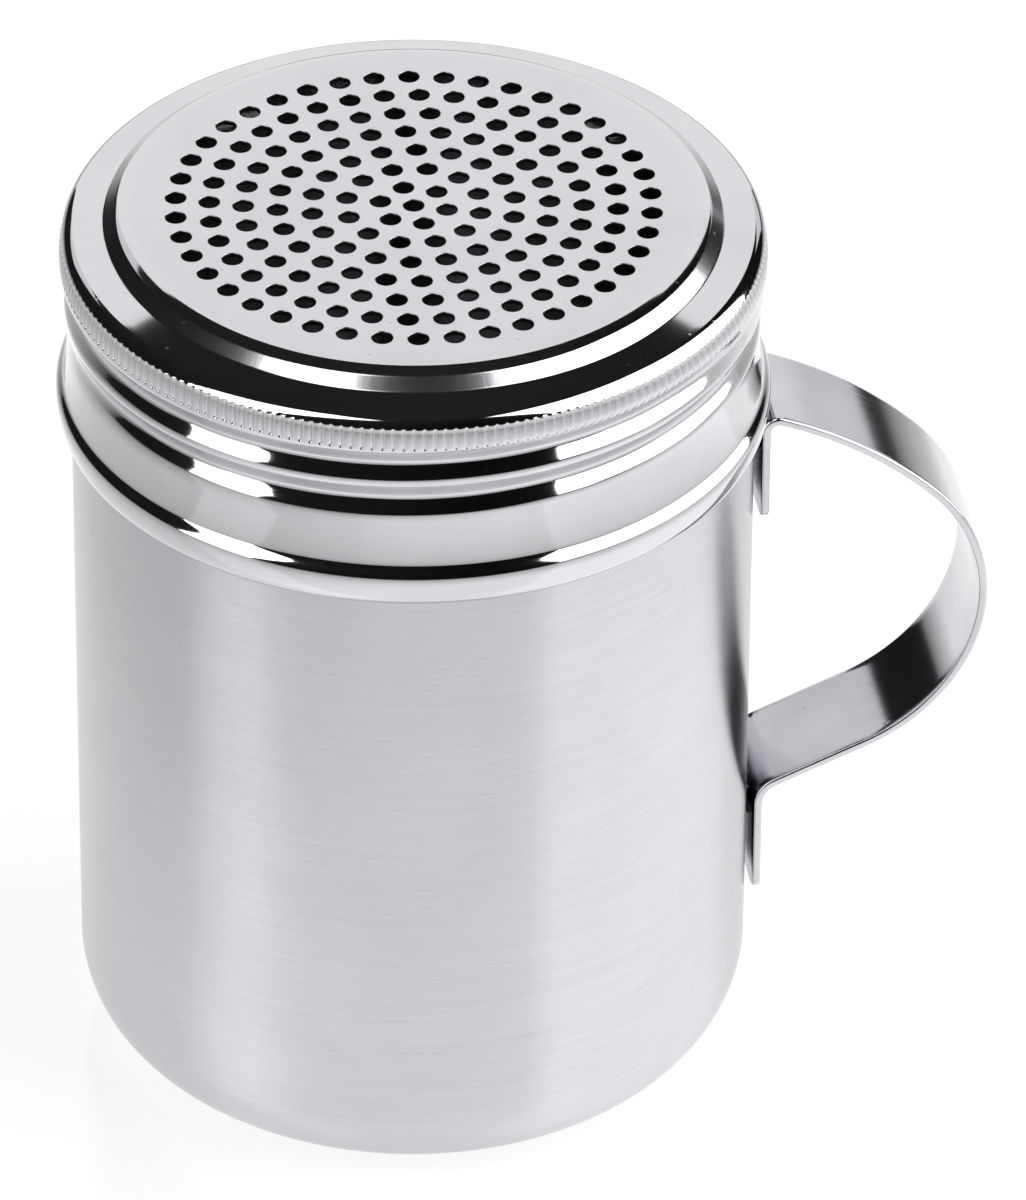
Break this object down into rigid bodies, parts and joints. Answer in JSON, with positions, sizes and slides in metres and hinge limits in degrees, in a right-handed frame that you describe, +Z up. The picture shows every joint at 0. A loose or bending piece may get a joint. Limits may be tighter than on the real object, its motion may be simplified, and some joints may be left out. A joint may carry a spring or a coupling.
{
  "type": "handled shaker",
  "caption": "Round steel shaker with a perforated screw lid and a bent strap handle, for dusting flour or sugar.",
  "frame": {"origin": "on the can's axis, in the plane that its flat base stands on", "axes": "+Z up along the can's axis; +X towards the handle; +Y across, to the left of someone who looks along the handle from the can"},
  "size_m": [0.0924, 0.07, 0.095],
  "materials": {
    "satin_steel": "stainless steel with a fine satin grain round the can",
    "polished_steel": "stainless steel polished bright, with a softer sheen on the flat top",
    "strap_steel": "stainless strip, half polished, with bright sheared edges",
    "weld_steel": "dull steel of a spot weld"
  },
  "bodies": {
    "can": {"body_can": "satin_steel", "handle_strap": "strap_steel", "spot_weld_upper_1": "weld_steel", "spot_weld_upper_2": "weld_steel", "spot_weld_lower_1": "weld_steel", "spot_weld_lower_2": "weld_steel"},
    "lid": {"screw_lid": "polished_steel"}
  },
  "joints": [
    {"name": "lid_lift", "type": "slide", "parent": "can", "child": "lid", "axis": [0, 0, 1], "range_m": [0, 0.03]}
  ]
}
